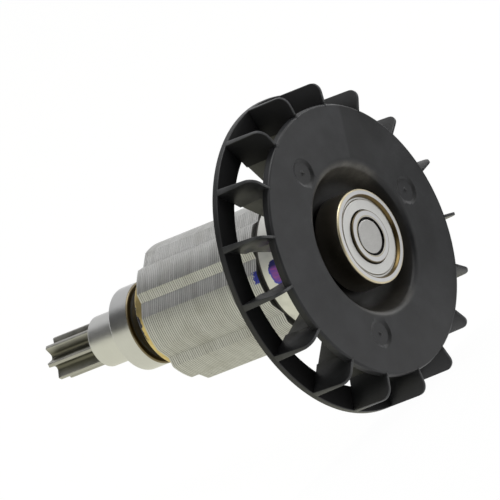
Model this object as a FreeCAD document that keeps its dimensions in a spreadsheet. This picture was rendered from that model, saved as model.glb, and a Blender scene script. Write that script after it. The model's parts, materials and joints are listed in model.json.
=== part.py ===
"""Motor armature: a shaft with a cut pinion, a laminated core with magnets, a fan and two ball bearings.

The spin axis is +X. The origin is the centre of the rear bearing, at the middle of its width, and the
pinion points towards -X. Lengths are millimetres, angles are degrees, and every angle about the axis is
counted from +Z towards -Y.
"""
import FreeCAD, Part
import math
import os

import Sketcher
from FreeCAD import Placement, Rotation, Vector

DIMENSIONS = [
    ("shaft_radius", 3.5, "ground bar that carries everything"),
    ("shaft_chamfer", 0.35, "rear end of the bar"),
    ("shaft_inset", 0.1, "rear end of the bar behind the rear bearing's outer face"),
    ("pinion_length", 12.0, "toothed end of the bar"),
    ("pinion_teeth", 7, "number of teeth"),
    ("pinion_tip_radius", 4.6, "over the teeth"),
    ("pinion_root_radius", 2.45, "bottom of the tooth gaps"),
    ("pinion_chamfer", 0.3, "free end of the teeth"),
    ("pinion_turn", 5.6, "turn of the first tooth gap about the axis"),
    ("gap_round", 0.75, "radius of the gap's bottom"),
    ("gap_flank", 34.0, "angle of a gap's flank to its middle line"),
    ("sleeve_length", 8.7, "distance sleeve between pinion and front bearing"),
    ("sleeve_radius", 5.2, "outside of the distance sleeve"),
    ("sleeve_chamfer", 0.35, "both ends of the distance sleeve"),
    ("bearing_chamfer", 0.3, "outer corners of the outer rings"),
    ("bore_chamfer", 0.45, "bore corners of the inner rings"),
    ("land_chamfer", 0.15, "outer corners of the inner rings"),
    ("race_clearance", 0.03, "between a ball and its grooves"),
    ("cover_sheet", 0.3, "thickness of a bearing's shield or seal"),
    ("cover_lip", 0.25, "drop of the outer ring's mouth to the cover's seat"),
    ("cover_lip_depth", 0.45, "axial depth of that drop"),
    ("cover_ledge", 0.4, "ledge that a cover's rim lies on"),
    ("cover_rim", 0.55, "width of a cover's rim"),
    ("cover_bend", 0.2, "radial run of the bend inside the rim"),
    ("cover_gap", 0.2, "running gap between a cover and the inner ring"),
    ("cage_sheet", 0.8, "thickness of a ball cage"),
    ("cage_edge", 0.25, "cage material left beside a ball pocket"),
    ("cage_clearance", 0.05, "between a ball and its pocket"),
    ("rear_width", 6.0, "rear bearing"),
    ("rear_outer_radius", 9.5, "rear bearing"),
    ("rear_inner_land", 5.25, "outside of the rear inner ring"),
    ("rear_outer_land", 1.25, "width of the rear outer ring's face"),
    ("rear_seat_depth", 1.0, "shield seat below the rear bearing's face"),
    ("rear_cover_rise", 0.45, "how far the shield's flat stands above its rim"),
    ("rear_pitch_radius", 6.5, "circle of the rear balls' centres"),
    ("rear_ball_radius", 1.98, "rear balls"),
    ("rear_balls", 7, "number of balls"),
    ("front_width", 5.0, "front bearing"),
    ("front_outer_radius", 8.5, "front bearing"),
    ("front_inner_land", 5.0, "outside of the front inner ring"),
    ("front_outer_land", 1.0, "width of the front outer ring's face"),
    ("front_seat_depth", 0.8, "seal seat below the front bearing's face"),
    ("front_cover_rise", 0.2, "how far the seal's flat stands above its rim"),
    ("front_pitch_radius", 6.0, "circle of the front balls' centres"),
    ("front_ball_radius", 1.5, "front balls"),
    ("front_balls", 8, "number of balls"),
    ("brass_length", 4.4, "front balance ring"),
    ("brass_radius", 10.0, "front balance ring"),
    ("brass_chamfer", 0.4, "front corner of the front balance ring"),
    ("brass_hub_length", 3.3, "hub of the front balance ring, against the front bearing"),
    ("brass_hub_radius", 4.7, "that hub"),
    ("core_length", 30.0, "stack of laminations"),
    ("core_radius", 14.0, "stack of laminations"),
    ("core_turn", -4.1, "turn of the first pole about the axis"),
    ("poles", 4, "number of poles, with one magnet each"),
    ("notch_radius", 13.0, "bottom of the notches between the poles"),
    ("notch_angle", 27.0, "from a pole's middle to the bottom of the notch beside it"),
    ("notch_pole_side", 13.0, "angle of the notch's long flank, on the pole"),
    ("notch_web_side", 7.0, "angle of the notch's short flank, on the web between poles"),
    ("magnet_width", 11.0, "flat magnet"),
    ("magnet_thickness", 2.5, "flat magnet"),
    ("magnet_reach", 10.8, "from the axis to a magnet's outer face"),
    ("magnet_inset", 0.2, "end of a magnet below the core's front face"),
    ("slot_clearance", 0.1, "glue gap round a magnet"),
    ("washer_thickness", 0.8, "insulating washer behind the core"),
    ("washer_radius", 13.0, "insulating washer"),
    ("rear_ring_length", 5.0, "rear balance ring"),
    ("rear_ring_radius", 13.3, "rear balance ring"),
    ("rear_ring_chamfer", 0.5, "corner of the rear balance ring towards the fan"),
    ("hub_length", 6.4, "fan hub, from the rear bearing to the rear balance ring"),
    ("hub_radius", 5.4, "fan hub"),
    ("boss_radius", 4.7, "boss of the hub against the rear bearing's inner ring"),
    ("bearing_proud", 1.7, "rear bearing's outer face beyond the fan's rim"),
    ("disc_radius", 27.1, "fan disc"),
    ("disc_thickness", 1.7, "fan disc, at its rim"),
    ("disc_crown", 0.3, "how far the disc's face rises from its rim to the recess"),
    ("disc_edge_round", 1.0, "front edge of the disc's rim"),
    ("cup_mouth_radius", 14.4, "recess round the rear bearing, at the disc"),
    ("cup_floor_radius", 13.2, "recess, at its floor"),
    ("cup_lip_round", 1.8, "rounded lip of the recess"),
    ("cup_floor_gap", 1.2, "recess floor behind the rear bearing"),
    ("cup_wall", 1.5, "thickness of the recess's wall and floor"),
    ("fan_radius", 31.75, "over the blades"),
    ("fan_depth", 10.3, "from the blades' front to the shroud's back"),
    ("blades", 17, "number of blades"),
    ("blade_front_thickness", 0.55, "outer part of a blade, at its front edge"),
    ("blade_back_thickness", 1.5, "outer part of a blade, at its back edge"),
    ("blade_disc_thickness", 1.1, "inner part of a blade, at the disc"),
    ("blade_tail_thickness", 0.7, "inner part of a blade, at its back edge"),
    ("blade_parting_radius", 25.3, "where the outer part of a blade meets the inner part"),
    ("blade_root_radius", 14.5, "inner end of a blade, in the recess's wall"),
    ("blade_corner", 2.2, "rounded front corner of a blade"),
    ("blade_back_rise", 1.0, "run of a blade's back edge towards the disc, from the shroud to the recess"),
    ("shroud_inner_radius", 26.8, "flat ring behind the blades"),
    ("shroud_thickness", 1.3, "flat ring behind the blades"),
    ("gate_radius", 19.0, "from the axis to a gate mark"),
    ("gate_mark_radius", 2.9, "shallow round gate mark in the disc"),
    ("gate_nub_radius", 0.5, "sprue nub left in a gate mark"),
    ("gate_depth", 0.3, "gate mark, at its centre"),
]
GATE_BLADES = (1, 7, 13)
FULL_TURN = 360.0

doc = FreeCAD.newDocument("motor_armature")
sheet = doc.addObject("Spreadsheet::Sheet", "sheet")
pieces = []


class Size:
    """A value of the sheet, or one worked out from it, as a number and as the text that binds it."""

    def __init__(self, number, text):
        self.number = number
        self.text = text

    def __add__(self, other):
        other = as_size(other)
        return Size(self.number + other.number, "(%s + %s)" % (self.text, other.text))

    def __sub__(self, other):
        other = as_size(other)
        return Size(self.number - other.number, "(%s - %s)" % (self.text, other.text))

    def __mul__(self, other):
        other = as_size(other)
        return Size(self.number * other.number, "(%s * %s)" % (self.text, other.text))

    def __truediv__(self, other):
        other = as_size(other)
        return Size(self.number / other.number, "(%s / %s)" % (self.text, other.text))

    def __neg__(self):
        return Size(-self.number, "(0 - %s)" % self.text)


def as_size(value):
    """Take a plain number as a size too."""
    return value if isinstance(value, Size) else Size(value, repr(float(value)))


def cosine(angle):
    return Size(math.cos(math.radians(angle.number)), "cos(%s)" % angle.text)


def sine(angle):
    return Size(math.sin(math.radians(angle.number)), "sin(%s)" % angle.text)


class Sizes:
    """The sheet's cells, each a size under its own name."""


def fill_sheet():
    """Write the driving dimensions to the sheet and return them by name."""
    sizes = Sizes()
    for row, (name, number, note) in enumerate(DIMENSIONS, start=1):
        sheet.set("A%d" % row, name)
        sheet.set("B%d" % row, repr(number))
        sheet.set("C%d" % row, note)
        sheet.setAlias("B%d" % row, name)
        setattr(sizes, name, Size(number, "sheet." + name))
    return sizes


size = fill_sheet()
doc.recompute()

REAR_INNER_FACE = -size.rear_width / 2
RIM_FACE = size.rear_width / 2 - size.bearing_proud
CUP_FLOOR = REAR_INNER_FACE - size.cup_floor_gap
HUB_BACK = REAR_INNER_FACE - size.hub_length
FAN_BACK = RIM_FACE - size.fan_depth
REAR_RING_BACK = HUB_BACK - size.rear_ring_length
CORE_BACK = REAR_RING_BACK - size.washer_thickness
CORE_FRONT = CORE_BACK - size.core_length
BRASS_FRONT = CORE_FRONT - size.brass_length
FRONT_BEARING_BACK = BRASS_FRONT - size.brass_hub_length
FRONT_BEARING_MIDDLE = FRONT_BEARING_BACK - size.front_width / 2
SLEEVE_BACK = FRONT_BEARING_BACK - size.front_width
PINION_BACK = SLEEVE_BACK - size.sleeve_length
PINION_FRONT = PINION_BACK - size.pinion_length
SHAFT_REAR = size.rear_width / 2 - size.shaft_inset


def new_body(label, turn=None):
    """Start a sub-part; turn is its angle about the spin axis."""
    body = doc.addObject("PartDesign::Body", label)
    if turn is not None:
        body.Placement = Placement(Vector(), Rotation(Vector(1, 0, 0), turn.number))
        body.setExpression(".Placement.Rotation.Angle", "%s * 1 deg" % turn.text)
    pieces.append(body)
    return body


def sketch_on(body, role, offset=None):
    """Add a sketch on one of the body's origin planes, moved along the plane's normal by offset."""
    sketch = body.newObject("Sketcher::SketchObject", body.Name + "_sketch")
    plane = next(item for item in body.Origin.OriginFeatures if item.Role == role)
    sketch.AttachmentSupport = [(plane, "")]
    sketch.MapMode = "FlatFace"
    if offset is not None:
        sketch.AttachmentOffset = Placement(Vector(0, 0, offset.number), Rotation())
        sketch.setExpression("AttachmentOffset.Base.z", offset.text)
    return sketch


def pin(sketch, geometry, point, direction, distance):
    """Hold one point of a sketch at a distance from the sketch's origin."""
    constraint = Sketcher.Constraint(direction, -1, 1, geometry, point, distance.number)
    index = sketch.addConstraint(constraint)
    sketch.setExpression("Constraints[%d]" % index, distance.text)


def outline(sketch, corners):
    """Draw a closed outline. A corner is (across, up), or (across, up, centre) where an arc starts."""
    corners = [tuple(as_size(value) if not isinstance(value, tuple) else value for value in corner)
               for corner in corners]
    first_edge = sketch.GeometryCount
    ends = []
    for place, corner in enumerate(corners):
        after = corners[(place + 1) % len(corners)]
        start = Vector(corner[0].number, corner[1].number, 0)
        end = Vector(after[0].number, after[1].number, 0)
        if len(corner) == 2:
            sketch.addGeometry(Part.LineSegment(start, end), False)
            ends.append((1, 2))
            continue
        across, up = (as_size(value) for value in corner[2])
        centre = Vector(across.number, up.number, 0)
        start_angle = math.atan2(start.y - centre.y, start.x - centre.x)
        end_angle = math.atan2(end.y - centre.y, end.x - centre.x)
        left_turn = (start - centre).cross(end - centre).z > 0
        circle = Part.Circle(centre, Vector(0, 0, 1), (start - centre).Length)
        if left_turn:
            arc = Part.ArcOfCircle(circle, start_angle, end_angle)
        else:
            arc = Part.ArcOfCircle(circle, end_angle, start_angle)
        edge = sketch.addGeometry(arc, False)
        pin(sketch, edge, 3, "DistanceX", across)
        ends.append((1, 2) if left_turn else (2, 1))
    for place, corner in enumerate(corners):
        edge = first_edge + place
        before = first_edge + (place - 1) % len(corners)
        first = ends[place][0]
        last = ends[(place - 1) % len(corners)][1]
        sketch.addConstraint(Sketcher.Constraint("Coincident", before, last, edge, first))
        for value, direction, axis in ((corner[0], "DistanceX", -2), (corner[1], "DistanceY", -1)):
            if value.number == 0:
                sketch.addConstraint(Sketcher.Constraint("PointOnObject", edge, first, axis))
            else:
                pin(sketch, edge, first, direction, value)


def round_hole(sketch, across, up, radius):
    """Draw a circle."""
    across = as_size(across)
    up = as_size(up)
    edge = sketch.addGeometry(Part.Circle(Vector(across.number, up.number, 0), Vector(0, 0, 1),
                                          radius.number), False)
    for value, direction, axis in ((across, "DistanceX", -2), (up, "DistanceY", -1)):
        if value.number == 0:
            sketch.addConstraint(Sketcher.Constraint("PointOnObject", edge, 3, axis))
        else:
            pin(sketch, edge, 3, direction, value)
    index = sketch.addConstraint(Sketcher.Constraint("Radius", edge, radius.number))
    sketch.setExpression("Constraints[%d]" % index, radius.text)


def turned(body, corners):
    """Add a form turned about the spin axis, from corners given as (along, radius)."""
    sketch = sketch_on(body, "XY_Plane")
    outline(sketch, corners)
    feature = body.newObject("PartDesign::Revolution", body.Name + "_turned")
    feature.Profile = sketch
    feature.ReferenceAxis = (sketch, ["H_Axis"])
    feature.Angle = FULL_TURN
    doc.recompute()
    return feature


def grooved(body, along, pitch_radius, groove_radius):
    """Cut a round groove about the spin axis, as for a bearing's balls."""
    sketch = sketch_on(body, "XY_Plane")
    round_hole(sketch, along, pitch_radius, groove_radius)
    feature = body.newObject("PartDesign::Groove", body.Name + "_groove")
    feature.Profile = sketch
    feature.ReferenceAxis = (sketch, ["H_Axis"])
    feature.Angle = FULL_TURN
    doc.recompute()
    return feature


def padded(body, sketch, length):
    """Raise a sketch along its normal."""
    feature = body.newObject("PartDesign::Pad", body.Name + "_pad")
    feature.Profile = sketch
    feature.Length = length.number
    feature.setExpression("Length", length.text)
    doc.recompute()
    return feature


def pocketed(body, sketch, length=None, backwards=False):
    """Cut a sketch to a length, or through everything on both sides where no length is given."""
    volume = body.Shape.Volume
    feature = body.newObject("PartDesign::Pocket", body.Name + "_pocket")
    feature.Profile = sketch
    if length is None:
        feature.SideType = "Symmetric"
        feature.Type = "ThroughAll"
    else:
        feature.Reversed = backwards
        feature.Length = length.number
        feature.setExpression("Length", length.text)
    doc.recompute()
    if body.Shape.Volume >= volume:
        raise RuntimeError("%s cut nothing" % feature.Name)
    return feature


def repeated(body, features, count):
    """Repeat features evenly about the spin axis."""
    axis = next(item for item in body.Origin.OriginFeatures if item.Role == "X_Axis")
    pattern = body.newObject("PartDesign::PolarPattern", body.Name + "_pattern")
    pattern.Originals = features
    pattern.Axis = (axis, [""])
    pattern.Angle = FULL_TURN
    pattern.Occurrences = int(count.number)
    pattern.setExpression("Occurrences", count.text)
    body.Tip = pattern
    doc.recompute()
    return pattern


def rotor_shaft():
    """One ground bar with the pinion's straight teeth cut on its front end."""
    body = new_body("rotor_shaft", turn=size.pinion_turn)
    turned(body, [
        (PINION_FRONT, 0),
        (PINION_FRONT, size.pinion_tip_radius - size.pinion_chamfer),
        (PINION_FRONT + size.pinion_chamfer, size.pinion_tip_radius),
        (PINION_BACK, size.pinion_tip_radius),
        (PINION_BACK, size.shaft_radius),
        (SHAFT_REAR - size.shaft_chamfer, size.shaft_radius),
        (SHAFT_REAR, size.shaft_radius - size.shaft_chamfer),
        (SHAFT_REAR, 0),
    ])
    middle = size.pinion_root_radius + size.gap_round
    foot_across = size.gap_round * cosine(size.gap_flank)
    foot_up = middle - size.gap_round * sine(size.gap_flank)
    top_across = foot_across + size.pinion_tip_radius * sine(size.gap_flank)
    top_up = foot_up + size.pinion_tip_radius * cosine(size.gap_flank)
    bottom = sketch_on(body, "YZ_Plane", PINION_FRONT)
    round_hole(bottom, 0, middle, size.gap_round)
    bottom_cut = pocketed(body, bottom, size.pinion_length, backwards=True)
    flanks = sketch_on(body, "YZ_Plane", PINION_FRONT)
    outline(flanks, [
        (foot_across, foot_up),
        (top_across, top_up),
        (-top_across, top_up),
        (-foot_across, foot_up),
    ])
    flank_cut = pocketed(body, flanks, size.pinion_length, backwards=True)
    repeated(body, [bottom_cut, flank_cut], size.pinion_teeth)


def distance_sleeve():
    """Ground sleeve that holds the front bearing off the pinion."""
    body = new_body("distance_sleeve")
    turned(body, [
        (PINION_BACK, size.shaft_radius),
        (PINION_BACK, size.sleeve_radius - size.sleeve_chamfer),
        (PINION_BACK + size.sleeve_chamfer, size.sleeve_radius),
        (SLEEVE_BACK - size.sleeve_chamfer, size.sleeve_radius),
        (SLEEVE_BACK, size.sleeve_radius - size.sleeve_chamfer),
        (SLEEVE_BACK, size.shaft_radius),
    ])


class Bearing:
    """One deep-groove ball bearing: two rings, balls, a cage and two covers."""

    def __init__(self, name, cover_name, middle):
        self.name = name
        self.cover_name = cover_name
        self.middle = middle
        self.half = self.own("width") / 2
        self.race_radius = self.own("ball_radius") + size.race_clearance
        self.mouth = self.own("outer_radius") - self.own("outer_land")
        self.seat = self.mouth - size.cover_lip
        self.ledge = self.seat - size.cover_ledge
        self.seat_face = self.half - self.own("seat_depth")

    def own(self, what):
        """A size of this bearing's own."""
        return getattr(size, "%s_%s" % (self.name, what))

    def mirrored(self, half_outline):
        """Complete an outline given from the outside inwards, for the +X half of a ring."""
        right = [(self.middle + along, radius) for along, radius in half_outline]
        left = [(self.middle - along, radius) for along, radius in reversed(half_outline)]
        return right + left

    def outer_ring(self):
        body = new_body("%s_bearing_outer_ring" % self.name)
        turned(body, self.mirrored([
            (self.half - size.bearing_chamfer, self.own("outer_radius")),
            (self.half, self.own("outer_radius") - size.bearing_chamfer),
            (self.half, self.mouth),
            (self.half - size.cover_lip_depth, self.seat),
            (self.seat_face, self.seat),
            (self.seat_face, self.ledge),
        ]))
        grooved(body, self.middle, self.own("pitch_radius"), self.race_radius)

    def inner_ring(self):
        body = new_body("%s_bearing_inner_ring" % self.name)
        land = self.own("inner_land")
        turned(body, self.mirrored([
            (self.half - size.land_chamfer, land),
            (self.half, land - size.land_chamfer),
            (self.half, size.shaft_radius + size.bore_chamfer),
            (self.half - size.bore_chamfer, size.shaft_radius),
        ]))
        grooved(body, self.middle, self.own("pitch_radius"), self.race_radius)

    def balls(self):
        """All the balls, as one group of separate solids."""
        group = doc.addObject("Part::Compound", "%s_bearing_balls" % self.name)
        count = self.own("balls")
        balls = []
        for place in range(int(count.number)):
            angle = Size(FULL_TURN * place, repr(FULL_TURN * place)) / count
            ball = doc.addObject("Part::Sphere", "%s_ball_%d" % (self.name, place + 1))
            ball.setExpression("Radius", self.own("ball_radius").text)
            ball.setExpression("Placement.Base.x", self.middle.text)
            ball.setExpression("Placement.Base.y", (-self.own("pitch_radius") * sine(angle)).text)
            ball.setExpression("Placement.Base.z", (self.own("pitch_radius") * cosine(angle)).text)
            balls.append(ball)
        group.Links = balls
        pieces.append(group)

    def cage(self):
        """Pressed ring with one round pocket for each ball."""
        body = new_body("%s_bearing_cage" % self.name)
        pocket_radius = self.own("ball_radius") + size.cage_clearance
        reach = pocket_radius + size.cage_edge
        outer = self.own("pitch_radius") + size.cage_sheet / 2
        inner = self.own("pitch_radius") - size.cage_sheet / 2
        turned(body, self.mirrored([(reach, outer), (reach, inner)]))
        sketch = sketch_on(body, "XY_Plane")
        round_hole(sketch, self.middle, 0, pocket_radius)
        pocket = pocketed(body, sketch, self.own("outer_radius"), backwards=True)
        repeated(body, [pocket], self.own("balls"))

    def cover(self, side, side_name):
        """Thin pressed cover whose rim lies in the outer ring and whose flat nearly closes the face."""
        body = new_body("%s_bearing_%s_%s" % (self.name, self.cover_name, side_name))
        rise = self.own("cover_rise")
        flat = self.seat - size.cover_rim
        edge = self.own("inner_land") + size.cover_gap
        section = [
            (self.seat_face, self.seat),
            (self.seat_face + size.cover_sheet, self.seat),
            (self.seat_face + size.cover_sheet, flat + size.cover_bend),
            (self.seat_face + size.cover_sheet + rise, flat),
            (self.seat_face + size.cover_sheet + rise, edge),
            (self.seat_face + rise, edge),
            (self.seat_face + rise, flat - size.cover_bend),
            (self.seat_face, flat),
        ]
        turned(body, [(self.middle + along * side, radius) for along, radius in section])

    def build(self):
        self.outer_ring()
        self.inner_ring()
        self.balls()
        self.cage()
        self.cover(1, "outer" if self.name == "rear" else "inner")
        self.cover(-1, "inner" if self.name == "rear" else "outer")


def front_balance_ring():
    """Turned brass ring against the core, with a hub that seats the front bearing."""
    body = new_body("front_balance_ring")
    turned(body, [
        (FRONT_BEARING_BACK, size.shaft_radius),
        (FRONT_BEARING_BACK, size.brass_hub_radius),
        (BRASS_FRONT, size.brass_hub_radius),
        (BRASS_FRONT, size.brass_radius - size.brass_chamfer),
        (BRASS_FRONT + size.brass_chamfer, size.brass_radius),
        (CORE_FRONT, size.brass_radius),
        (CORE_FRONT, size.shaft_radius),
    ])


def rotor_core():
    """Stack of laminations with a notch each side of every web and a closed slot for every magnet."""
    body = new_body("rotor_core", turn=size.core_turn)
    blank = sketch_on(body, "YZ_Plane", CORE_FRONT)
    round_hole(blank, 0, 0, size.core_radius)
    round_hole(blank, 0, 0, size.shaft_radius)
    padded(body, blank, size.core_length)
    beyond = size.core_radius + (size.core_radius - size.notch_radius)
    notches = sketch_on(body, "YZ_Plane", CORE_FRONT)
    for side in (1, -1):
        corners = []
        for radius, angle in ((size.notch_radius, size.notch_angle),
                              (size.core_radius, size.notch_angle + size.notch_web_side),
                              (beyond, size.notch_angle + size.notch_web_side),
                              (beyond, size.notch_angle - size.notch_pole_side),
                              (size.core_radius, size.notch_angle - size.notch_pole_side)):
            corners.append((radius * sine(angle) * side, radius * cosine(angle)))
        outline(notches, corners)
    notch_cut = pocketed(body, notches)
    repeated(body, [notch_cut], size.poles)
    slot = sketch_on(body, "YZ_Plane", CORE_FRONT)
    across = size.magnet_width / 2 + size.slot_clearance
    top = size.magnet_reach + size.slot_clearance
    bottom = size.magnet_reach - size.magnet_thickness - size.slot_clearance
    outline(slot, [(across, bottom), (across, top), (-across, top), (-across, bottom)])
    slot_cut = pocketed(body, slot)
    repeated(body, [slot_cut], size.poles)


def magnet(place):
    """Flat magnet glued in one of the core's slots."""
    turn = size.core_turn + as_size(FULL_TURN * place) / size.poles
    body = new_body("magnet_%d" % (place + 1), turn=turn)
    sketch = sketch_on(body, "YZ_Plane", CORE_FRONT + size.magnet_inset)
    across = size.magnet_width / 2
    bottom = size.magnet_reach - size.magnet_thickness
    outline(sketch, [(across, bottom), (across, size.magnet_reach),
                     (-across, size.magnet_reach), (-across, bottom)])
    padded(body, sketch, size.core_length - size.magnet_inset)


def insulating_washer():
    """Dark washer that closes the magnet slots behind the core."""
    body = new_body("insulating_washer")
    turned(body, [
        (CORE_BACK, size.shaft_radius),
        (CORE_BACK, size.washer_radius),
        (REAR_RING_BACK, size.washer_radius),
        (REAR_RING_BACK, size.shaft_radius),
    ])


def rear_balance_ring():
    """Plain light-metal ring between the washer and the fan."""
    body = new_body("rear_balance_ring")
    turned(body, [
        (REAR_RING_BACK, size.shaft_radius),
        (REAR_RING_BACK, size.rear_ring_radius),
        (HUB_BACK - size.rear_ring_chamfer, size.rear_ring_radius),
        (HUB_BACK, size.rear_ring_radius - size.rear_ring_chamfer),
        (HUB_BACK, size.shaft_radius),
    ])


def blade_part(body, section, start, end):
    """One part of the blade that stands on +Z, from its tapered section given as (along, thickness)."""
    sketch = sketch_on(body, "XY_Plane", start)
    near, far = section
    outline(sketch, [
        (near[0], -near[1] / 2),
        (far[0], -far[1] / 2),
        (far[0], far[1] / 2),
        (near[0], near[1] / 2),
    ])
    return padded(body, sketch, end - start)


def fan():
    """One moulding: disc with a deep recess and hub, radial blades, and the flat shroud behind them."""
    body = new_body("fan")
    disc_back = RIM_FACE - size.disc_thickness
    disc_face = RIM_FACE + size.disc_crown
    lip_along = disc_face - size.cup_lip_round
    lip_radius = size.cup_mouth_radius + size.cup_lip_round
    edge_radius = size.disc_radius - size.disc_edge_round
    floor_back = CUP_FLOOR - size.cup_wall
    turned(body, [
        (REAR_INNER_FACE, size.shaft_radius),
        (REAR_INNER_FACE, size.boss_radius),
        (CUP_FLOOR, size.boss_radius),
        (CUP_FLOOR, size.cup_floor_radius),
        (lip_along, size.cup_mouth_radius, (lip_along, lip_radius)),
        (disc_face, lip_radius),
        (RIM_FACE, edge_radius, (RIM_FACE - size.disc_edge_round, edge_radius)),
        (RIM_FACE - size.disc_edge_round, size.disc_radius),
        (disc_back, size.disc_radius),
        (disc_back, size.cup_mouth_radius + size.cup_wall),
        (floor_back, size.cup_floor_radius + size.cup_wall),
        (floor_back, size.hub_radius),
        (HUB_BACK, size.hub_radius),
        (HUB_BACK, size.shaft_radius),
    ])
    in_disc = RIM_FACE - size.disc_thickness / 2
    tail = FAN_BACK + size.shroud_thickness
    outer_section = [(FAN_BACK, size.blade_back_thickness), (RIM_FACE, size.blade_front_thickness)]
    inner_section = [(tail, size.blade_tail_thickness), (in_disc, size.blade_disc_thickness)]
    outer_part = blade_part(body, outer_section, size.blade_parting_radius, size.fan_radius)
    inner_part = blade_part(body, inner_section, size.blade_root_radius, size.blade_parting_radius)
    trim = sketch_on(body, "XZ_Plane")
    corner_along = RIM_FACE - size.blade_corner
    corner_radius = size.fan_radius - size.blade_corner
    beyond = size.fan_radius + size.blade_corner
    outline(trim, [
        (corner_along, size.fan_radius, (corner_along, corner_radius)),
        (RIM_FACE, corner_radius),
        (RIM_FACE + size.blade_corner, corner_radius),
        (RIM_FACE + size.blade_corner, beyond),
        (corner_along, beyond),
    ])
    outline(trim, [
        (FAN_BACK - size.shroud_thickness, size.blade_root_radius),
        (FAN_BACK - size.shroud_thickness, size.shroud_inner_radius),
        (tail, size.shroud_inner_radius),
        (tail + size.blade_back_rise, size.blade_root_radius),
    ])
    trim_cut = pocketed(body, trim, size.blade_back_thickness * 2)
    trim_cut.SideType = "Symmetric"
    repeated(body, [outer_part, inner_part, trim_cut], size.blades)
    turned(body, [
        (FAN_BACK, size.shroud_inner_radius),
        (FAN_BACK, size.fan_radius),
        (FAN_BACK + size.shroud_thickness, size.fan_radius),
        (FAN_BACK + size.shroud_thickness, size.shroud_inner_radius),
    ])
    disc_slope = size.disc_crown / (edge_radius - lip_radius)
    gate_face = RIM_FACE + disc_slope * (edge_radius - size.gate_radius)
    marks = sketch_on(body, "YZ_Plane", gate_face - size.gate_depth)
    for place in GATE_BLADES:
        angle = Size(FULL_TURN * place, repr(FULL_TURN * place)) / size.blades
        across = -size.gate_radius * sine(angle)
        up = size.gate_radius * cosine(angle)
        round_hole(marks, across, up, size.gate_mark_radius)
        round_hole(marks, across, up, size.gate_nub_radius)
    pocketed(body, marks, size.disc_crown + size.gate_depth, backwards=True)


def check_and_write():
    """Stop on anything that failed, then write one STEP file for each sub-part."""
    doc.recompute()
    for item in doc.Objects:
        if "Invalid" in item.State or "Error" in item.State:
            raise RuntimeError("%s is %s" % (item.Name, item.State))
    os.makedirs("parts", exist_ok=True)
    for piece in pieces:
        shape = piece.Shape
        if shape.isNull() or not shape.isValid():
            raise RuntimeError("%s has no valid shape" % piece.Label)
        shape.exportStep("parts/%s.step" % piece.Label)
        print("%-32s %d solid(s) %10.2f mm3" % (piece.Label, len(shape.Solids), shape.Volume))


rotor_shaft()
distance_sleeve()
Bearing("front", "seal", FRONT_BEARING_MIDDLE).build()
front_balance_ring()
rotor_core()
for place in range(int(size.poles.number)):
    magnet(place)
insulating_washer()
rear_balance_ring()
fan()
Bearing("rear", "shield", as_size(0)).build()
check_and_write()
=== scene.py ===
"""Looks of the motor armature: its turned, stacked and moulded pieces, their finishes, and the studio.

Sizes are in millimetres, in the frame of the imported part. The spin axis is +X, and an angle about it is
counted from +Y towards +Z. Front is towards the pinion, but the fan's back is its side that faces the
core. A turned section is a list of corners given as (along, radius, rounding).
"""
import json
import math

import bmesh
import bpy
from mathutils import Matrix, Vector


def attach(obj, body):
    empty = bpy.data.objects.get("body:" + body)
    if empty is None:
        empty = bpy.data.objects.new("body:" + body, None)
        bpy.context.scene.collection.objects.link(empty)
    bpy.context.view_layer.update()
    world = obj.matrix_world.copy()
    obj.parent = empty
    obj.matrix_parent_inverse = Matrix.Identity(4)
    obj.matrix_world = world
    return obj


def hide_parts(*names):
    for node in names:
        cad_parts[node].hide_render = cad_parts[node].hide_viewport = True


MM = 0.001
FINE_ARC = math.radians(15)
NEARLY_STRAIGHT = math.radians(1)
LONGEST_ROUNDING = 0.49
FACE_ON = 0.8
NOISE_LOW = 0.3
NOISE_HIGH = 0.7

SHAFT_RADIUS = 3.5
SHAFT_REAR = 2.9
PINION_FRONT = -78.6
PINION_BACK = -66.6
PINION_TEETH = 7
PINION_TURN = 5.6
PINION_TIP = 4.6
PINION_ROOT = 2.45
PINION_CHAMFER = 0.3
TIP_ROUND = 0.35
FLANK_TOP = 4.15
GAP_ROUND = 0.75
GAP_FLANK = 34.0
SLEEVE_BACK = -57.9
SLEEVE_RADIUS = 5.2
FRONT_BEARING_MIDDLE = -55.4
FRONT_BEARING_RADIUS = 8.5
REAR_BEARING_RADIUS = 9.5
BRASS_HUB_FRONT = -52.9
BRASS_HUB_RADIUS = 4.7
BRASS_FRONT = -49.6
BRASS_RADIUS = 10.0
CORE_FRONT = -45.2
CORE_BACK = -15.2
CORE_RADIUS = 14.0
CORE_TURN = -4.1
POLES = 4
NOTCH_RADIUS = 13.0
SLOT_HALF_WIDTH = 5.6
SLOT_INNER = 8.2
SLOT_OUTER = 10.9
LAMINATIONS = 60
LAMINATION_PITCH = 0.5
LAMINATION_GAP = 0.02
LAMINATION_EDGE = 0.05
LAMINATION_LOOSENESS = 0.12
WASHER_BACK = -14.4
WASHER_RADIUS = 13.0
REAR_RING_RADIUS = 13.3
HUB_BACK = -9.4
HUB_FACE = -3.0
HUB_RADIUS = 5.4
HUB_FACE_RADIUS = 4.7
RIM_FACE = 1.3
DISC_FACE = 1.6
DISC_BACK = -0.4
DISC_RADIUS = 27.1
CUP_MOUTH = 14.7
CUP_LIP = 3.1
CUP_LIP_RUN = 2.05
CUP_FLOOR_RADIUS = 12.5
CUP_FLOOR_ROUND = 3.4
CUP_FLOOR = -4.2
CUP_FLOOR_BACK = -5.7
CUP_WALL = 1.5
FAN_BACK = -9.0
FAN_RADIUS = 31.75
SHROUD_FRONT = -7.7
SHROUD_INNER = 26.8
BLADES = 17
BLADE_PARTING = 25.3
BLADE_ROOT = 14.5
BLADE_CORNER = 2.2
BLADE_TOP = 0.45
BLADE_FOOT = -7.58
BLADE_FOOT_SUNK = 0.15
BLADE_OVERLAP = 0.1
BLADE_EDGE = 0.13
OUTER_BLADE_THICKNESS = (1.5, 0.55)
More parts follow.
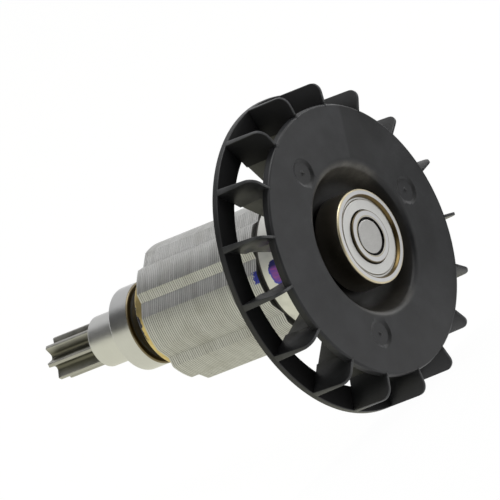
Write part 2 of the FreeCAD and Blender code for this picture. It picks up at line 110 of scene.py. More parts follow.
INNER_BLADE_THICKNESS = (0.7, 1.1)
GATE_RADIUS = 19.0
GATE_BLADES = (1, 7, 13)
GATE_MARK = 2.9
GATE_DEPTH = 0.35
GATE_BEVEL = 0.65
GATE_NUB = 0.5
GATE_NUB_RISE = 0.3

TOOTH_CREST = (0.47, 0.465, 0.44)
# Painted shade for the gaps between the pinion's teeth.
TOOTH_GAP_PAINTED_SHADE = (0.15, 0.145, 0.115)
# Painted golden glint for the rear bearing's outer corner.
GOLDEN_GLINT_STEEL = (0.60, 0.53, 0.36)
SHADED_STEEL = (0.34, 0.31, 0.26)
# Painted golden-brown reflection for the front bearing's outer corner.
GOLDEN_BROWN_REFLECTION_STEEL = (0.20, 0.168, 0.11)
# Painted shade for the front bearing's hidden face.
FRONT_FACE_PAINTED_SHADE = (0.035, 0.028, 0.018)
CORE_STEEL = (0.53, 0.53, 0.52)
CORE_STEEL_STAINED = (0.47, 0.467, 0.45)
CORE_INK = (0.05, 0.06, 0.36)
BRASS = (0.66, 0.53, 0.25)
BRASS_STAINED = (0.56, 0.43, 0.18)
VARNISH = (0.012, 0.014, 0.03)
ALUMINIUM = (0.69, 0.69, 0.66)
ALUMINIUM_STAINED = (0.61, 0.61, 0.58)
INK_PURPLE = (0.16, 0.05, 0.40)
INK_REDDISH = (0.34, 0.07, 0.27)
INK_BLUE = (0.05, 0.06, 0.48)
INK_NAVY = (0.012, 0.012, 0.12)
DISC_BLACK = (0.015, 0.0155, 0.017)
RECESS_BLACK = (0.019, 0.017, 0.014)
# Painted shade deep in the recess.
RECESS_FLOOR_PAINTED_SHADE = (0.006, 0.0055, 0.005)
# Painted light on the recess's walls.
RECESS_PAINTED_LIGHT = (0.105, 0.099, 0.087)
# Painted shade for the fan's pieces behind the disc.
PAINTED_SHADE_BLADE_BLACK = (0.003, 0.003, 0.0034)
# Painted light for the outer blades outside the dark sector.
PAINTED_LIT_BLADE_BLACK = (0.011, 0.0115, 0.0125)
INNER_BLADE_BLACK = (0.034, 0.034, 0.029)
# Painted highlight for the blades' outer edges and the shroud's outside.
EDGE_HIGHLIGHT_BLACK = (0.036, 0.037, 0.039)

# Painted rings on the rear bearing: painted shade in the groove by the shield, in the gap by the inner ring
# and round the shaft, and a painted golden reflection near the bore: from radius, to radius, softness,
# colour.
REAR_BEARING_PAINTED_RINGS = (
    (7.95, 8.36, 0.08, (0.12, 0.085, 0.035)),
    (5.12, 5.3, 0.1, (0.16, 0.13, 0.08)),
    (4.0, 4.12, 0.08, (0.45, 0.41, 0.30)),
    (3.44, 3.86, 0.08, (0.008, 0.007, 0.006)),
)
BETWEEN_THE_BEARINGS = -20.0
CORE_INK_FROM = math.radians(161)
CORE_INK_TO = math.radians(168.5)
CORE_INK_SOFT = math.radians(2.5)
VARNISH_ANGLE = math.radians(162)
VARNISH_BACK = -47.8
INK_ANGLE = math.radians(166.5)
INK_HALF_ANGLE = math.radians(11)
INK_MIDDLE = -11.2
INK_HALF_LENGTH = 1.75
# Painted reflection edge on the disc: its angle, half width and reach.
REFLECTION_EDGE_ANGLE = math.radians(60)
REFLECTION_EDGE_HALF_WIDTH = math.radians(1.2)
REFLECTION_EDGE_REACH = math.radians(50)
UPPER_PAINTED_LIGHT_ANGLE = math.radians(75)
LOWER_PAINTED_LIGHT_ANGLE = math.radians(-105)
# Middle of the sector about the top where the outer blades keep their painted shade.
PAINTED_SHADE_SECTOR_ANGLE = math.radians(98)
GATE_SHADOW_WAY = (0.8, -0.6)

CAMERA_PLACE = Vector((1026.06, -1344.88, 295.76))
CAMERA_RIGHT = Vector((0.73820, 0.47293, -0.48104))
CAMERA_UP = Vector((0.29466, 0.41539, 0.86059))
CAMERA_LENS = 648.0
CAMERA_SENSOR = 36.0
WHITE = (1.0, 1.0, 1.0)
BLACK = (0.0, 0.0, 0.0)
LIGHT_ON_DULL_SURFACES = 0.85
FLOOR_COLOUR = (0.85, 0.85, 0.82)
FLOOR_ROUGHNESS = 0.9
FLOOR_GLOW = 0.98
FLOOR_SIZE = 6000.0
FLOOR_GAP = 0.05
CREAM = (0.86, 0.855, 0.71)
NEARLY_BLACK = (0.02, 0.02, 0.02)

# Cards that the steel and the plastic mirror: name, middle, facing, width, height, glow.
CARDS = (
    ("black_card_above_the_pinion", (-334, -269, 344), (0.607, 0.489, -0.626), 400, 460, NEARLY_BLACK),
    ("black_card_at_the_front", (484, -372, 62), (-0.78, 0.60, -0.10), 1000, 1100, NEARLY_BLACK),
    ("grey_card_overhead", (-334, 185, 396), (0.607, -0.336, -0.72), 700, 760, (0.66, 0.66, 0.66)),
    ("cream_card_at_the_side", (-400, -480, 105), (0.64, 0.768, 0.0), 900, 270, CREAM),
    ("cream_card_underneath", (-610, 0, -FAN_RADIUS), (0, 0, 1), 1200, 1600, CREAM),
    ("dark_card_on_the_right", (15, 60, -5), (0, -1, 0), 50, 110, (0.35, 0.35, 0.35)),
)
# Soft lamps: name, place, width, height, watts.
SOFTBOXES = (
    ("softbox_above", (50, 120, 650), 500, 350, 2.2),
    ("softbox_on_the_right", (170, 580, 170), 200, 200, 1.2),
)
LAMP_TARGET = Vector((-20, 0, 0))


def placed(name, data):
    """Put a mesh, a lamp or a camera in the scene."""
    made = bpy.data.objects.new(name, data)
    bpy.context.scene.collection.objects.link(made)
    return made


def rounded(corners):
    """Round the corners of a closed outline. Returns its points and their outward directions."""
    flat = [(corner[0], corner[1]) for corner in corners]
    area = sum(a[0] * b[1] - b[0] * a[1] for a, b in zip(flat, flat[1:] + flat[:1]))
    if area < 0:
        corners = corners[::-1]
    points = []
    outward = []
    for place, corner in enumerate(corners):
        here = Vector(corner[:2])
        before = here - Vector(corners[place - 1][:2])
        after = Vector(corners[(place + 1) % len(corners)][:2]) - here
        start_way = Vector((before.y, -before.x)).normalized()
        end_way = Vector((after.y, -after.x)).normalized()
        turn = math.atan2(start_way.cross(end_way), start_way.dot(end_way))
        rounding = corner[2] if len(corner) > 2 else 0
        if abs(turn) < NEARLY_STRAIGHT or rounding == 0:
            points.append(here)
            outward.append((start_way + end_way).normalized())
            continue
        tangent = math.tan(abs(turn) / 2)
        run = min(rounding * tangent, before.length * LONGEST_ROUNDING, after.length * LONGEST_ROUNDING)
        bend = run / tangent * (1 if turn > 0 else -1)
        centre = here - before.normalized() * run - start_way * bend
        steps = max(2, math.ceil(abs(turn) / FINE_ARC))
        for step in range(steps + 1):
            way = Matrix.Rotation(turn * step / steps, 2) @ start_way
            points.append(centre + way * bend)
            outward.append(way)
    return points, outward


def piece(name, points, faces, finish, directions=None):
    """Make one piece of the object from points in millimetres."""
    mesh = bpy.data.meshes.new(name)
    mesh.from_pydata([tuple(value * MM for value in point) for point in points], [], faces)
    mesh.validate()
    mesh.materials.append(finish)
    mesh.shade_smooth()
    if directions is not None:
        mesh.normals_split_custom_set_from_vertices(directions)
    return placed(name, mesh)


def turned(name, corners, finish, facets=180, dent=None):
    """Turn a closed section about the spin axis. dent gives the depth and slope of dents in its +X face."""
    section, outward = rounded(corners)
    count = len(section)
    points = []
    directions = []
    for facet in range(facets):
        angle = math.tau * facet / facets
        across, up = math.cos(angle), math.sin(angle)
        for point, way in zip(section, outward):
            place = [point.x, point.y * across, point.y * up]
            direction = [way.x, way.y * across, way.y * up]
            if dent is not None and way.x > FACE_ON:
                depth, slope_across, slope_up = dent(place[1], place[2])
                share = (way.x - FACE_ON) / (1 - FACE_ON)
                place[0] -= depth * share
                direction[1] += slope_across * share
                direction[2] += slope_up * share
            points.append(place)
            directions.append(Vector(direction).normalized())
    faces = []
    for facet in range(facets):
        near = facet * count
        far = (facet + 1) % facets * count
        for step in range(count):
            after = (step + 1) % count
            faces.append((near + step, near + after, far + after, far + step))
    return piece(name, points, faces, finish, directions)


def prism(name, outline, stations, finish, sharp=35.0):
    """Extrude an (across, up) outline through stations given as (along, greatest radius)."""
    count = len(outline)
    points = []
    for along, reach in stations:
        for point in outline:
            point = point * min(1.0, reach / point.length)
            points.append((along, point.x, point.y))
    faces = [tuple(range(count))[::-1], tuple(range(len(points) - count, len(points)))]
    for station in range(len(stations) - 1):
        for step in range(count):
            after = (step + 1) % count
            low = station * count
            high = low + count
            faces.append((low + step, low + after, high + after, high + step))
    made = piece(name, points, faces, finish)
    made.data.set_sharp_from_angle(angle=math.radians(sharp))
    return made


def at_angle(radius, degrees):
    """A point in the plane across the axis, at an angle in degrees."""
    return Vector((radius * math.cos(math.radians(degrees)), radius * math.sin(math.radians(degrees))))


GATE_MIDDLES = [at_angle(GATE_RADIUS, 90 + 360 * blade / BLADES) for blade in GATE_BLADES]


def feed(tree, socket, value):
    """Link a node's result to a socket, or set the socket's own value."""
    if isinstance(value, bpy.types.NodeSocket):
        tree.links.new(value, socket)
    else:
        socket.default_value = value


def add_node(tree, kind, settings=None, **inputs):
    """Add a node with its settings and inputs. An underscore stands for the space in an input's name."""
    made = tree.nodes.new(kind)
    for key, value in (settings or {}).items():
        setattr(made, key, value)
    for key, value in inputs.items():
        feed(tree, made.inputs[key.replace("_", " ")], value)
    return made


def worked(tree, operation, *values, clamp=False):
    """Add one step of arithmetic."""
    made = add_node(tree, "ShaderNodeMath", {"operation": operation, "use_clamp": clamp})
    for socket, value in zip(made.inputs, values):
        feed(tree, socket, value)
    return made.outputs[0]


class Finish:
    """One finish of the object, built a node at a time on coordinates in millimetres."""

    def __init__(self, name):
        self.material = bpy.data.materials.new(name)
        self.material.use_nodes = True
        self.tree = self.material.node_tree
        self.surface = self.tree.nodes["Principled BSDF"]
        self.place = self.scaled(self.node("ShaderNodeTexCoord").outputs["Object"], 1 / MM)
        self.along, self.across, self.up = self.node("ShaderNodeSeparateXYZ", Vector=self.place).outputs
        self.radius = self.distance(self.up, self.across)
        self.turn = self.work("ARCTAN2", self.up, self.across)
        around = self.node("ShaderNodeCombineXYZ", X=self.along, Y=self.radius, Z=self.turn)
        self.round_place = around.outputs[0]

    def node(self, kind, settings=None, **inputs):
        """Add a node to this finish."""
        return add_node(self.tree, kind, settings, **inputs)

    def work(self, operation, *values, clamp=False):
        """One step of arithmetic."""
        return worked(self.tree, operation, *values, clamp=clamp)

    def times(self, *values):
        """Multiply numbers by one another."""
        product = values[0]
        for value in values[1:]:
            product = self.work("MULTIPLY", product, value)
        return product

    def minus(self, value, taken):
        """Take one number from another."""
        return self.work("SUBTRACT", value, taken)

    def distance(self, first, second):
        """Length of a step whose two parts are at right angles."""
        return self.work("SQRT", self.work("MULTIPLY_ADD", first, first, self.times(second, second)))

    def fade(self, value, low, high, at_low=0.0, at_high=1.0):
        """Run smoothly from one number to another as value goes from low to high."""
        made = self.node("ShaderNodeMapRange", {"interpolation_type": "SMOOTHSTEP"})
        for socket, number in zip(made.inputs, (value, low, high, at_low, at_high)):
            feed(self.tree, socket, number)
        return made.outputs[0]

    def spread(self, lumps, at_low, at_high):
        """Run from one number to another as noise goes from its lows to its highs."""
        return self.fade(lumps, NOISE_LOW, NOISE_HIGH, at_low, at_high)

    def between(self, value, low, high, soft):
        """1 where value lies from low to high, with soft ends."""
        return self.times(self.fade(value, low - soft, low), self.fade(value, high, high + soft, 1.0, 0.0))

    def towards(self, angle, low, high, at_high=1.0):
        """Rise from 0 towards an angle about the axis. low and high are cosines of the angle left."""
        closeness = self.work("COSINE", self.minus(self.turn, angle))
        return self.fade(closeness, low, high, 0.0, at_high)

    def noise(self, size, detail=2.0, where=None, stretch=None, shift=0.0):
        """Smooth noise from 0 to 1 whose lumps are about size millimetres."""
        where = self.place if where is None else where
        if stretch is not None or shift:
            mapped = self.node("ShaderNodeMapping", Vector=where, Location=(shift, shift, shift),
                               Scale=stretch or (1, 1, 1))
            where = mapped.outputs[0]
        return self.node("ShaderNodeTexNoise", Vector=where, Scale=1 / size, Detail=detail).outputs["Fac"]

    def turning_lines(self, size, detail, slant):
        """Noise drawn out round the axis like the lines that a turning tool leaves."""
        return self.noise(size, detail, self.round_place, stretch=(1, 1, slant))

    def mix(self, share, first, second):
        """Blend two colours."""
        made = self.node("ShaderNodeMix", {"data_type": "RGBA"})
        for socket, value in ((made.inputs[0], share), (made.inputs[6], first), (made.inputs[7], second)):
            feed(self.tree, socket, (*value, 1.0) if isinstance(value, tuple) else value)
        return made.outputs[2]

    def scaled(self, value, share):
        """Multiply a colour or a place by a number."""
        return self.node("ShaderNodeVectorMath", {"operation": "SCALE"}, Vector=value, Scale=share).outputs[0]

    def relief(self, height, depth):
        """Raise the surface by a height from 0 to 1, at a depth in millimetres."""
        made = self.node("ShaderNodeBump", Height=height, Distance=depth * MM)
        before = self.surface.inputs["Normal"]
        if before.is_linked:
            self.tree.links.new(before.links[0].from_socket, made.inputs["Normal"])
        self.tree.links.new(made.outputs[0], before)

    def done(self, **inputs):
        """Set the surface's own sockets."""
        for key, value in inputs.items():
            feed(self.tree, self.surface.inputs[key.replace("_", " ")], value)
        return self.material


def painted_bearing_shade_and_glints(finish, clean):
    """Painted golden glint on the rear bearing's outer corner, painted shade on its outer side and painted
    rings in its grooves and gaps, and a painted golden-brown reflection and painted shade on the front one's
    hidden face.
    """
    along, radius = finish.along, finish.radius
    # Painted golden glint on the rear bearing's outer front corner.
    corner = finish.times(finish.between(radius, REAR_BEARING_RADIUS - 0.26, REAR_BEARING_RADIUS + 0.1, 0.2),
                          finish.fade(along, 2.5, 2.75))
    rear = finish.mix(corner, clean, GOLDEN_GLINT_STEEL)
    # Painted shade on the rear bearing's outer side, down in the recess.
    outside = finish.times(finish.fade(radius, REAR_BEARING_RADIUS - 0.2, REAR_BEARING_RADIUS - 0.1),
                           finish.between(along, -3.1, 2.4, 0.2))
    rear = finish.mix(outside, rear, SHADED_STEEL)
    # Painted shade and a painted golden reflection, ring by ring.
    for low, high, soft, painted_ring in REAR_BEARING_PAINTED_RINGS:
        rear = finish.mix(finish.between(radius, low, high, soft), rear, painted_ring)
    hidden_face = BRASS_HUB_FRONT
    # Painted golden-brown reflection on the front bearing's outer corner at its hidden face.
    corner = finish.times(finish.between(along, hidden_face - 0.32, hidden_face + 0.2, 0.06),
                          finish.fade(radius, FRONT_BEARING_RADIUS - 0.6, FRONT_BEARING_RADIUS - 0.4))
    front = finish.mix(corner, clean, GOLDEN_BROWN_REFLECTION_STEEL)
    # Painted shade on the front bearing's hidden face, in the gap before the brass ring.
    seal = finish.fade(radius, FRONT_BEARING_RADIUS - 0.45, FRONT_BEARING_RADIUS - 0.15, 1.0, 0.0)
    face = finish.times(seal, finish.between(along, hidden_face - 1.1, hidden_face + 0.9, 0.1))
    front = finish.mix(face, front, FRONT_FACE_PAINTED_SHADE)
    return finish.mix(finish.work("GREATER_THAN", along, BETWEEN_THE_BEARINGS), front, rear)


def ground_steel(name, colour, roughness, wear=0.12, rings=0.002, toothed=False, painted_bearing_marks=False, patchy=0.06):
    """Fine turned or ground steel with soft stains; the toothed bar also has painted shade in its tooth gaps
    and a sawn end, and the bearings' steel can have painted shade and glints.
    """
    finish = Finish(name)
    lines = finish.turning_lines(0.12, 3.0, 0.05)
    if toothed:
        scratches = finish.noise(0.16, 3.0, stretch=(1, 0.2, 1.2))
        sawn_end = finish.work("LESS_THAN", finish.radius, SHAFT_RADIUS - 0.1)
        lines = finish.work("MULTIPLY_ADD", sawn_end, finish.minus(scratches, lines), lines)
    stain = finish.noise(2.6, 3.0)
    stained = finish.fade(stain, 0.35, 0.75, -wear, 0.0)
    share = finish.work("ADD", finish.spread(lines, 1 - wear, 1.0), stained)
    finish.relief(lines, rings)
    if toothed:
        # Painted shade: the gaps between the pinion's teeth are darker than the crests.
        teeth = finish.mix(finish.fade(finish.radius, PINION_ROOT + 0.15, PINION_TIP), TOOTH_GAP_PAINTED_SHADE, TOOTH_CREST)
        colour = finish.mix(finish.work("LESS_THAN", finish.along, PINION_BACK), colour, teeth)
    # Painted shade and glints for the bearings and the shaft's rear end.
    if painted_bearing_marks:
        colour = painted_bearing_shade_and_glints(finish, colour)
    return finish.done(
        Base_Color=finish.scaled(colour, share),
        Metallic=1.0,
        Roughness=finish.spread(stain, roughness - patchy, roughness + patchy),
    )


def lamination_steel():
    """Punched edges of the core's sheets, each a little different, with a dark line between two."""
    finish = Finish("lamination_steel")
    count = finish.work("DIVIDE", finish.minus(finish.along, CORE_FRONT), LAMINATION_PITCH)
    own = finish.node("ShaderNodeTexWhiteNoise", {"noise_dimensions": "1D"}, W=finish.work("FLOOR", count))
    own = own.outputs["Value"]
    from_middle = finish.work("ABSOLUTE", finish.minus(finish.work("FRACT", count), 0.5))
    smear = finish.noise(0.5, 3.0, finish.round_place, stretch=(2.0, 0.2, 14.0))
    share = finish.times(
        finish.fade(own, 0.0, 1.0, 0.94, 1.06),
        finish.fade(smear, 0.25, 0.75, 0.96, 1.04),
        finish.fade(from_middle, 0.2, 0.46, 1.0, 0.6),
    )
    stain = finish.noise(5.0, 3.0)
    colour = finish.mix(finish.fade(stain, 0.4, 0.7), CORE_STEEL, CORE_STEEL_STAINED)
    blot = finish.noise(0.45, 3.0, shift=2.0)
    ink = finish.times(
        finish.fade(finish.work("MULTIPLY_ADD", blot, 2.6, finish.along), CORE_BACK, CORE_BACK + 0.3),
        finish.between(finish.turn, CORE_INK_FROM, CORE_INK_TO, CORE_INK_SOFT),
        finish.fade(from_middle, 0.3, 0.46, 1.0, 0.4),
    )
    return finish.done(
        Base_Color=finish.scaled(finish.mix(finish.spread(ink, 0.0, 1.0), colour, CORE_INK), share),
        Metallic=1.0,
        Roughness=finish.fade(own, 0.0, 1.0, 0.42, 0.46),
    )


def ring_brass():
    """Turned brass with blue-black varnish that has run round the front part."""
    finish = Finish("ring_brass")
    stain = finish.noise(1.6, 3.0)
    brass = finish.mix(finish.fade(stain, 0.35, 0.7), BRASS, BRASS_STAINED)
    edge = finish.work("MULTIPLY_ADD", finish.noise(1.7, 2.0, shift=4.0), 2.6, finish.along)
    varnish = finish.times(
        finish.fade(edge, VARNISH_BACK, VARNISH_BACK + 0.2, 1.0, 0.0),
        finish.towards(VARNISH_ANGLE, 0.90, 0.97),
        finish.fade(finish.radius, BRASS_RADIUS - 0.8, BRASS_RADIUS - 0.5),
    )
    finish.relief(finish.turning_lines(0.1, 2.0, 0.4), 0.006)
    finish.relief(varnish, 0.05)
    return finish.done(
        Base_Color=finish.mix(varnish, brass, VARNISH),
        Metallic=finish.work("SUBTRACT", 1.0, varnish, clamp=True),
        Roughness=finish.fade(varnish, 0.0, 1.0, 0.36, 0.22),
    )


def ring_aluminium():
    """White-silver turned ring with blue and purple marking ink on one side."""
    finish = Finish("ring_aluminium")
    stain = finish.noise(2.0, 3.0)
    metal = finish.mix(finish.fade(stain, 0.35, 0.7), ALUMINIUM, ALUMINIUM_STAINED)
    finish.relief(finish.turning_lines(0.12, 2.0, 0.4), 0.008)
    ink, colour = marking_ink(finish)
    return finish.done(
        Base_Color=finish.mix(ink, metal, colour),
        Metallic=finish.fade(ink, 0.0, 1.0, 0.85, 0.15),
        Roughness=finish.fade(ink, 0.0, 1.0, 0.42, 0.3),
    )


def marking_ink(finish):
    """The ink's share and colour: blue round its edge, purple in the middle, navy on its upper side."""
    wave = finish.times(finish.minus(finish.noise(0.9, 3.0), 0.5), 1.3)
    along = finish.work("ADD", finish.minus(finish.along, INK_MIDDLE), wave)
    along = finish.work("DIVIDE", along, INK_HALF_LENGTH)
    turn = finish.work("DIVIDE", finish.minus(finish.turn, INK_ANGLE), INK_HALF_ANGLE)
    reach = finish.distance(along, turn)
    streaks = finish.noise(0.5, 2.0, finish.round_place, stretch=(0.25, 1, 26))
    colour = finish.mix(finish.fade(streaks, 0.35, 0.65), INK_PURPLE, INK_REDDISH)
    colour = finish.mix(finish.fade(reach, 0.6, 0.9), colour, INK_BLUE)
    colour = finish.mix(finish.fade(turn, -0.6, -0.3, 1.0, 0.0), colour, INK_NAVY)
    return finish.fade(reach, 0.94, 1.02, 1.0, 0.0), colour


def gate_shadow(finish):
    """Dark side of the gate marks' rims, and the dark nub in the middle of each."""
    light = 1.0
    for middle in GATE_MIDDLES:
        aside = finish.minus(finish.across, middle.x)
        above = finish.minus(finish.up, middle.y)
        far = finish.distance(aside, above)
        lean = finish.work("MULTIPLY_ADD", aside, GATE_SHADOW_WAY[0], finish.times(above, GATE_SHADOW_WAY[1]))
        rim = finish.times(finish.between(far, GATE_MARK - GATE_BEVEL, GATE_MARK - 0.05, 0.2),
                           finish.fade(lean, 0.3, 2.2))
        nub = finish.between(far, -0.1, GATE_NUB - 0.2, 0.25)
        light = finish.times(light, finish.fade(finish.work("MAXIMUM", rim, nub), 0.0, 1.0, 1.0, 0.15))
    return light


def painted_edge_highlights(finish):
    """Share of the painted highlight along the blades' outer edges and on the shroud's outside."""
    past_front = finish.work("MAXIMUM", finish.minus(finish.along, RIM_FACE - BLADE_CORNER), 0.0)
    past_side = finish.work("MAXIMUM", finish.minus(finish.radius, FAN_RADIUS - BLADE_CORNER), 0.0)
    return finish.times(
        finish.fade(finish.distance(past_front, past_side), BLADE_CORNER - 0.18, BLADE_CORNER - 0.08),
        finish.work("GREATER_THAN", finish.radius, DISC_RADIUS + 0.4),
        finish.fade(finish.along, SHROUD_FRONT - 0.1, SHROUD_FRONT, 0.45, 1.0),
    )


def painted_reflection_edge(finish):
    """Painted reflection edge on the disc: lighter on one side of the line, darker on the other."""
    offset = finish.minus(finish.turn, REFLECTION_EDGE_ANGLE)
    side = finish.fade(offset, -REFLECTION_EDGE_HALF_WIDTH, REFLECTION_EDGE_HALF_WIDTH, -1.0, 1.0)
    near = finish.fade(finish.work("ABSOLUTE", offset), 0.0, REFLECTION_EDGE_REACH, 0.4, 0.0)
    disc = finish.work("GREATER_THAN", finish.radius, CUP_MOUTH + CUP_LIP_RUN - 0.6)
    return finish.work("MULTIPLY_ADD", finish.times(side, near), disc, 1.0)


def painted_light_in_the_recess(finish, above_floor):
    """Share of the brownish painted light on the recess's upper wall, and a little on the lower one."""
    # Painted light: the upper wall is lighter, and a little of it reaches the lower wall, in blotches.
    upper = finish.towards(UPPER_PAINTED_LIGHT_ANGLE, 0.6, 0.9)
    lower = finish.towards(LOWER_PAINTED_LIGHT_ANGLE, 0.7, 0.95, 0.55)
    return finish.times(
        finish.work("MAXIMUM", upper, lower),
        finish.fade(finish.along, CUP_FLOOR - 0.4, 0.6, 0.05, 1.0),
        finish.fade(finish.radius, CUP_MOUTH - 0.3, CUP_MOUTH + 1.3, 1.0, 0.0),
        above_floor,
        finish.fade(finish.noise(1.3, 3.0, shift=7.0), 0.35, 0.65, 0.75, 1.1),
    )


def fan_plastic():
    """Black moulding with a fine grain, its tones set region by region: disc, recess, blades and edges, with
    painted shade, painted light, painted highlights and a painted reflection edge among them.
    """
    finish = Finish("fan_plastic")
    grain = finish.noise(0.16, 2.0)
    cloud = finish.noise(7.0, 3.0)
    flow = finish.noise(1.4, 3.0, finish.round_place, stretch=(0.6, 0.35, 9.0))
    share = finish.times(
        finish.spread(cloud, 0.75, 1.25),
        finish.spread(flow, 0.85, 1.15),
        finish.spread(grain, 0.9, 1.1),
        gate_shadow(finish),
        painted_reflection_edge(finish),
    )
    above_floor = finish.work("GREATER_THAN", finish.along, CUP_FLOOR - 0.4)
    recess = finish.times(
        finish.fade(finish.along, -0.6, 1.2, 1.0, 0.0),
        above_floor,
        finish.work("LESS_THAN", finish.radius, CUP_MOUTH + CUP_LIP_RUN),
    )
    # Painted shade deep in the recess, towards its floor.
    painted_deep_shade = finish.times(recess, finish.fade(finish.along, CUP_FLOOR + 0.3, CUP_FLOOR + 2.6, 1.0, 0.0))
    # What lies behind the disc; it gets painted shade.
    off_the_disc = finish.work("MAXIMUM", finish.work("LESS_THAN", finish.along, DISC_BACK),
                               finish.work("GREATER_THAN", finish.radius, DISC_RADIUS + 0.05))
    inner_blades = finish.times(off_the_disc, finish.work("LESS_THAN", finish.radius, BLADE_PARTING))
    outer_parts = finish.minus(off_the_disc, inner_blades)
    # Painted light: the outer blade parts are lighter everywhere but a dark sector about the top.
    painted_lit_blades = finish.times(
        finish.minus(1.0, finish.towards(PAINTED_SHADE_SECTOR_ANGLE, 0.80, 0.90)),
        finish.work("GREATER_THAN", finish.along, SHROUD_FRONT + 0.1),
        outer_parts,
    )
    colour = DISC_BLACK
    for region, black in (
            (off_the_disc, PAINTED_SHADE_BLADE_BLACK), (inner_blades, INNER_BLADE_BLACK), (recess, RECESS_BLACK),
            (painted_deep_shade, RECESS_FLOOR_PAINTED_SHADE), (painted_light_in_the_recess(finish, above_floor), RECESS_PAINTED_LIGHT),
            (painted_lit_blades, PAINTED_LIT_BLADE_BLACK), (painted_edge_highlights(finish), EDGE_HIGHLIGHT_BLACK)):
        colour = finish.mix(region, colour, black)
    shadowed = finish.times(finish.minus(outer_parts, painted_lit_blades),
                            finish.fade(finish.radius, FAN_RADIUS - 0.3, FAN_RADIUS - 0.1, 1.0, 0.0))
    finish.relief(grain, 0.012)
    dull = finish.spread(cloud, 0.36, 0.43)
    for region, more in ((finish.minus(recess, painted_deep_shade), -0.06), (shadowed, 0.38), (painted_deep_shade, 0.08)):
        dull = finish.work("MULTIPLY_ADD", region, more, dull)
    return finish.done(
        Base_Color=finish.scaled(colour, share),
        Roughness=dull,
        Specular_IOR_Level=0.34,
    )


def plain_finish(name, colour, roughness, metallic=0.0):
    """Sintered, rubber or sheet material with a fine grain."""
    finish = Finish(name)
    grain = finish.noise(0.2, 3.0)
    stain = finish.noise(2.2, 2.0)
    finish.relief(grain, 0.01)
    share = finish.work("ADD", finish.spread(grain, 0.86, 1.04), finish.spread(stain, -0.06, 0.06))
    return finish.done(
        Base_Color=finish.scaled(colour, share),
        Metallic=metallic,
        Roughness=finish.spread(stain, roughness - 0.05, roughness + 0.05),
    )


FINISHES = {
    "shaft_steel": ground_steel("shaft_steel", (0.50, 0.495, 0.48), roughness=0.42, wear=0.08,
                                toothed=True, painted_bearing_marks=True),
    "sleeve_steel": ground_steel("sleeve_steel", (0.63, 0.63, 0.62), roughness=0.36, wear=0.03, patchy=0.02),
    "bearing_steel": ground_steel("bearing_steel", (0.60, 0.60, 0.60), roughness=0.3, wear=0.03, rings=0.001,
                                  painted_bearing_marks=True, patchy=0.015),
    "cage_steel": ground_steel("cage_steel", (0.5, 0.5, 0.5), roughness=0.4),
    "seal_rubber": plain_finish("seal_rubber", (0.02, 0.02, 0.021), roughness=0.5),
    "ring_brass": ring_brass(),
    "lamination_steel": lamination_steel(),
    "magnet": plain_finish("magnet", (0.12, 0.12, 0.13), roughness=0.45, metallic=0.6),
    "washer_plastic": plain_finish("washer_plastic", (0.035, 0.032, 0.028), roughness=0.55),
    "ring_aluminium": ring_aluminium(),
    "fan_plastic": fan_plastic(),
    "shield_steel": ground_steel("shield_steel", (0.66, 0.66, 0.64), roughness=0.42, wear=0.05, rings=0.004),
}


def new_tree(name, sizes):
    """Start a geometry tree with named inputs for its sizes and its finish."""
    tree = bpy.data.node_groups.new(name, "GeometryNodeTree")
    tree.is_modifier = True
    tree.interface.new_socket("Geometry", in_out="INPUT", socket_type="NodeSocketGeometry")
    for label, kind in sizes:
        tree.interface.new_socket(label, in_out="INPUT", socket_type=kind)
    tree.interface.new_socket("Finish", in_out="INPUT", socket_type="NodeSocketMaterial")
    tree.interface.new_socket("Geometry", in_out="OUTPUT", socket_type="NodeSocketGeometry")
    return tree, tree.nodes.new("NodeGroupInput").outputs


def copy_onto_points(tree, given, points, angle):
    """End a tree: copy the piece onto points, turned by an angle about the axis, as one real mesh."""
    turn = add_node(tree, "ShaderNodeCombineXYZ", X=angle).outputs[0]
    rotation = add_node(tree, "FunctionNodeEulerToRotation", Euler=turn).outputs[0]
    copies = add_node(tree, "GeometryNodeInstanceOnPoints", Points=points, Instance=given["Geometry"],
                      Rotation=rotation).outputs[0]
    real = add_node(tree, "GeometryNodeRealizeInstances", Geometry=copies).outputs[0]
    dressed = add_node(tree, "GeometryNodeSetMaterial", Geometry=real, Material=given["Finish"]).outputs[0]
    tree.links.new(dressed, tree.nodes.new("NodeGroupOutput").inputs[0])
    return tree


def round_the_axis():
    """A tree that spaces copies of a piece evenly about the spin axis."""
    tree, given = new_tree("spaced round the axis", [("Count", "NodeSocketInt")])
    points = add_node(tree, "GeometryNodePoints", Count=given["Count"]).outputs[0]
    index = tree.nodes.new("GeometryNodeInputIndex").outputs[0]
    step = worked(tree, "DIVIDE", math.tau, given["Count"])
    return copy_onto_points(tree, given, points, worked(tree, "MULTIPLY", index, step))


def stack_along_the_axis():
    """A tree that stacks sheets along the spin axis, each turned by a hair."""
    tree, given = new_tree("stack of sheets", [
        ("Sheets", "NodeSocketInt"), ("Pitch", "NodeSocketFloat"), ("Loose turn", "NodeSocketFloat"),
        ("Seed", "NodeSocketInt")])
    index = tree.nodes.new("GeometryNodeInputIndex").outputs[0]
    along = worked(tree, "MULTIPLY", index, given["Pitch"])
    place = add_node(tree, "ShaderNodeCombineXYZ", X=along).outputs[0]
    points = add_node(tree, "GeometryNodePoints", Count=given["Sheets"], Position=place).outputs[0]
    chance = add_node(tree, "FunctionNodeRandomValue", {"data_type": "FLOAT"}, ID=index, Seed=given["Seed"])
    tree.links.new(worked(tree, "MULTIPLY", given["Loose turn"], -1.0), chance.inputs[2])
    tree.links.new(given["Loose turn"], chance.inputs[3])
    return copy_onto_points(tree, given, points, chance.outputs[1])


